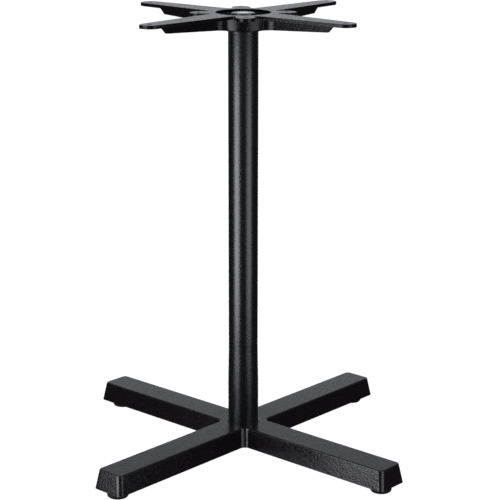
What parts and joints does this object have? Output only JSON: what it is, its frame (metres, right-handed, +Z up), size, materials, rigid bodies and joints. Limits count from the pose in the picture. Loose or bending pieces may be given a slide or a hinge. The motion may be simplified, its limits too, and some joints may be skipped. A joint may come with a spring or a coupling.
{
  "type": "four star pedestal table base",
  "caption": "Pedestal table base with a flat star of cast arms on levelling feet, a round steel column and a cast star plate with screw holes for the table top.",
  "frame": {"origin": "on the floor, on the axis of the column", "axes": "+Z up along the column; X and Y run parallel to the sides of a square table top, so the arms lie at 45 degrees to them; -Y is the side that the picture is taken from"},
  "size_m": [0.4806, 0.4806, 0.725],
  "materials": {
    "black_casting": "black powder coat over a sand-cast skin",
    "black_tube": "fine textured black powder coat",
    "zinc_steel": "bright zinc plate",
    "black_plastic": "satin moulded plastic"
  },
  "bodies": {
    "base": {"base_cross": "black_casting", "column": "black_tube", "top_spider": "black_casting", "tension_rod": "zinc_steel", "top_washer": "zinc_steel", "top_nut": "zinc_steel", "bottom_washer": "zinc_steel", "bottom_nut": "zinc_steel"},
    "foot_front_left": {"foot_pad_front_left": "black_plastic", "foot_stud_front_left": "zinc_steel"},
    "foot_front_right": {"foot_pad_front_right": "black_plastic", "foot_stud_front_right": "zinc_steel"},
    "foot_back_left": {"foot_pad_back_left": "black_plastic", "foot_stud_back_left": "zinc_steel"},
    "foot_back_right": {"foot_pad_back_right": "black_plastic", "foot_stud_back_right": "zinc_steel"}
  },
  "joints": [
    {"name": "level_front_left", "type": "slide", "parent": "base", "child": "foot_front_left", "axis": [0, 0, -1], "range_m": [0, 0.01]},
    {"name": "level_front_right", "type": "slide", "parent": "base", "child": "foot_front_right", "axis": [0, 0, -1], "range_m": [0, 0.01]},
    {"name": "level_back_left", "type": "slide", "parent": "base", "child": "foot_back_left", "axis": [0, 0, -1], "range_m": [0, 0.01]},
    {"name": "level_back_right", "type": "slide", "parent": "base", "child": "foot_back_right", "axis": [0, 0, -1], "range_m": [0, 0.01]}
  ]
}
